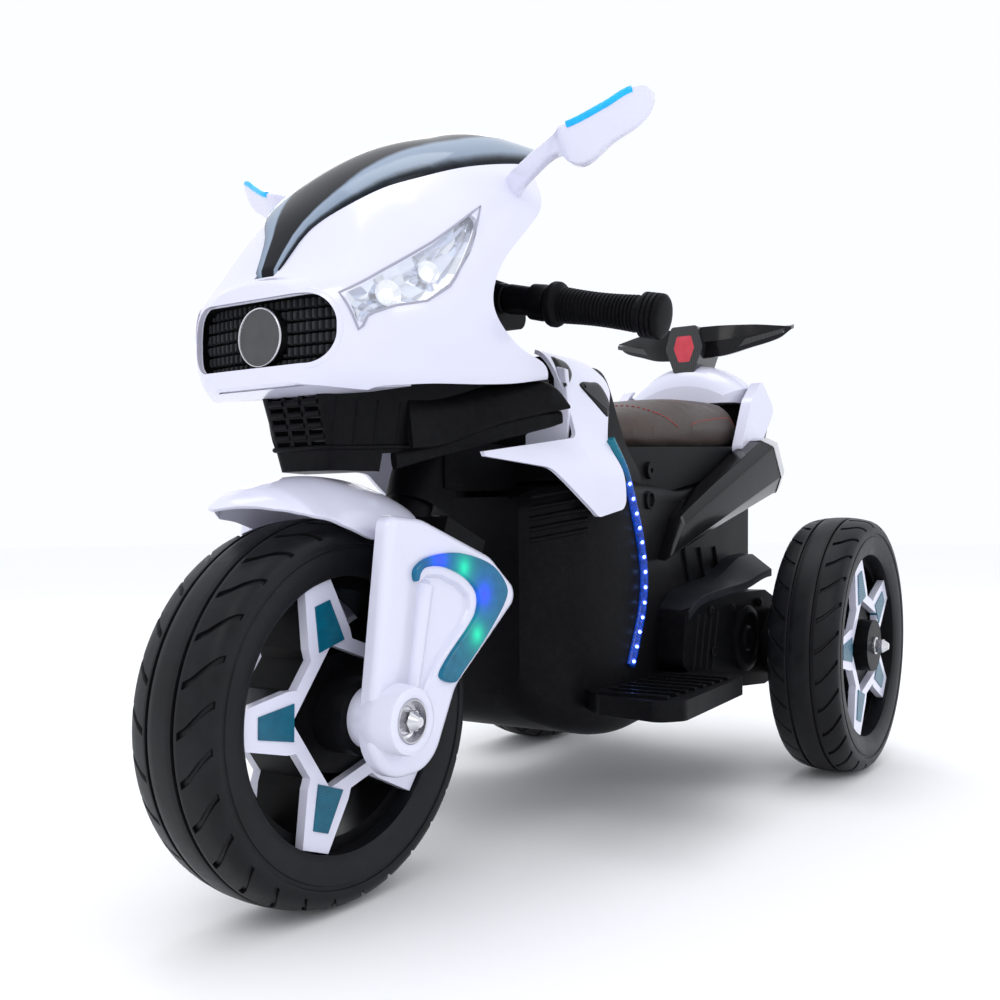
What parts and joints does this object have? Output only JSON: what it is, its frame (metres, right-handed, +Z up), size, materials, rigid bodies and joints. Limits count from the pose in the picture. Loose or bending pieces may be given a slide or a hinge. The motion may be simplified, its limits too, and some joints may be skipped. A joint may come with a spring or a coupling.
{
  "type": "ride-on toy motorbike",
  "caption": "Battery ride-on toy motorbike for a small child, with a steered front wheel, driven rear wheels, cowl, leather seat, footboards and a tail wing.",
  "frame": {"origin": "on the ground, midway between the front and rear axles", "axes": "+Z up, -Y forward, +X the rider's left"},
  "size_m": [0.5368, 0.956, 0.6532],
  "materials": {
    "white_gloss": "glossy white moulding",
    "black_satin": "satin black moulding",
    "black_gloss": "glossy black moulding",
    "smoked_screen": "smoked dark screen",
    "clear_lens": "clear moulded lens",
    "reflector_chrome": "metallised",
    "teal_lens": "translucent teal",
    "teal_light": "lit teal and blue lens",
    "blue_light": "lit blue strip",
    "badge_grey": "plain grey disc",
    "grip_rubber": "ribbed black rubber",
    "tyre_rubber": "black moulded tyre",
    "steel": "plated steel",
    "mirror_glass": "mirror",
    "seat_leather": "brown leather with red stitching",
    "red_insert": "red reflector",
    "battery_case": "dark grey case",
    "switch_red": "red rocking key"
  },
  "bodies": {
    "chassis": {"body_shell_left": "black_satin", "body_shell_right": "black_satin", "steering_head": "black_satin", "tank_cover": "black_satin", "side_panel_left": "white_gloss", "side_panel_right": "white_gloss", "led_strips": "blue_light", "footrest_left": "black_satin", "footrest_right": "black_satin", "seat_base": "black_satin", "seat_cushion": "seat_leather", "tail_cowl": "white_gloss", "tail_side_panels": "white_gloss", "tail_wing": "black_gloss", "tail_reflector": "red_insert", "mufflers": "black_gloss", "muffler_tips": "reflector_chrome", "gearboxes": "black_satin", "drive_motors": "steel", "battery": "battery_case", "floor_pan": "black_satin", "charge_socket": "black_satin", "rear_axle": "steel", "rear_axle_nuts": "steel"},
    "steering": {"steering_stem": "steel", "fork_leg_left": "white_gloss", "fork_leg_right": "white_gloss", "fork_lights": "teal_light", "front_fender": "white_gloss", "front_axle": "steel", "front_axle_nuts": "steel", "fairing_bracket": "black_satin", "front_fairing": "white_gloss", "fairing_lower": "black_satin", "front_grille": "black_satin", "badge_disc": "badge_grey", "headlight_lenses": "clear_lens", "headlight_reflectors": "reflector_chrome", "windshield": "smoked_screen", "handlebar_tube": "black_gloss", "handlebar_cover": "black_satin", "handle_grips": "grip_rubber", "mirror_housings": "white_gloss", "mirror_signals": "teal_lens", "mirror_glasses": "mirror_glass"},
    "front_wheel": {"front_tyre": "tyre_rubber", "front_rim": "black_satin", "front_spoke_trims": "white_gloss", "front_spoke_inserts": "teal_lens"},
    "rear_wheel_left": {"rear_left_tyre": "tyre_rubber", "rear_left_rim": "black_satin", "rear_left_spoke_trims": "white_gloss", "rear_left_spoke_inserts": "teal_lens"},
    "rear_wheel_right": {"rear_right_tyre": "tyre_rubber", "rear_right_rim": "black_satin", "rear_right_spoke_trims": "white_gloss", "rear_right_spoke_inserts": "teal_lens"},
    "throttle": {"throttle_pedal": "black_satin"},
    "power_key": {"power_switch": "switch_red"},
    "direction_key": {"direction_switch": "switch_red"}
  },
  "joints": [
    {"name": "steering_turn", "type": "hinge", "parent": "chassis", "child": "steering", "pos_m": [0, -0.196, 0.345], "axis": [0, 0.3746, 0.9272], "range_deg": [-24, 24]},
    {"name": "front_wheel_spin", "type": "hinge", "parent": "steering", "child": "front_wheel", "pos_m": [0, -0.328, 0.15], "axis": [1, 0, 0], "continuous": true},
    {"name": "rear_left_spin", "type": "hinge", "parent": "chassis", "child": "rear_wheel_left", "pos_m": [0.212, 0.328, 0.15], "axis": [1, 0, 0], "continuous": true},
    {"name": "rear_right_spin", "type": "hinge", "parent": "chassis", "child": "rear_wheel_right", "pos_m": [-0.212, 0.328, 0.15], "axis": [1, 0, 0], "continuous": true},
    {"name": "throttle_press", "type": "hinge", "parent": "chassis", "child": "throttle", "pos_m": [-0.15, 0.044, 0.147], "axis": [1, 0, 0], "range_deg": [0, 12], "stiffness_Nm_per_rad": 0.5, "springref_deg": -17.19},
    {"name": "power_rock", "type": "hinge", "parent": "chassis", "child": "power_key", "pos_m": [0.013, -0.028, 0.444], "axis": [1, 0, 0], "range_deg": [0, 16]},
    {"name": "direction_rock", "type": "hinge", "parent": "chassis", "child": "direction_key", "pos_m": [-0.013, -0.028, 0.444], "axis": [1, 0, 0], "range_deg": [0, 16]}
  ]
}
